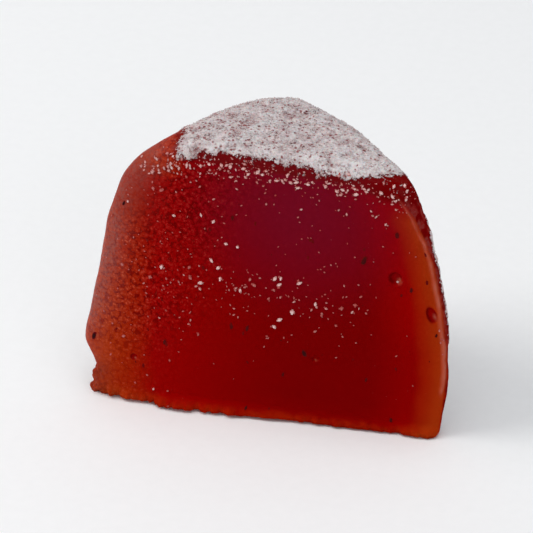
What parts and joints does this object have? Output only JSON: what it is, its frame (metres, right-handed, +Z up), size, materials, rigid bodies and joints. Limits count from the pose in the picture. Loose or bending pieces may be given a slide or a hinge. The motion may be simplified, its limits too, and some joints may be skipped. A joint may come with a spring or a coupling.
{
  "type": "turkish delight",
  "caption": "Cut half of a turkish delight cube: a soft red gel block, three-sided from above, with a bare cut face and rounded, sugar-dusted top and sides.",
  "frame": {"origin": "centre of the bounding box in plan, on the flat base that the piece stands on", "axes": "+Z up; the cut face looks towards -Y and its width runs along X; the dusted edge where the two sides meet is towards +Y"},
  "size_m": [0.0354, 0.0178, 0.0282],
  "materials": {
    "rose_gel": "satin deep red gel where cut, dusted with pale sugar elsewhere"
  },
  "bodies": {
    "root": {"cut_piece": "rose_gel"}
  },
  "joints": []
}
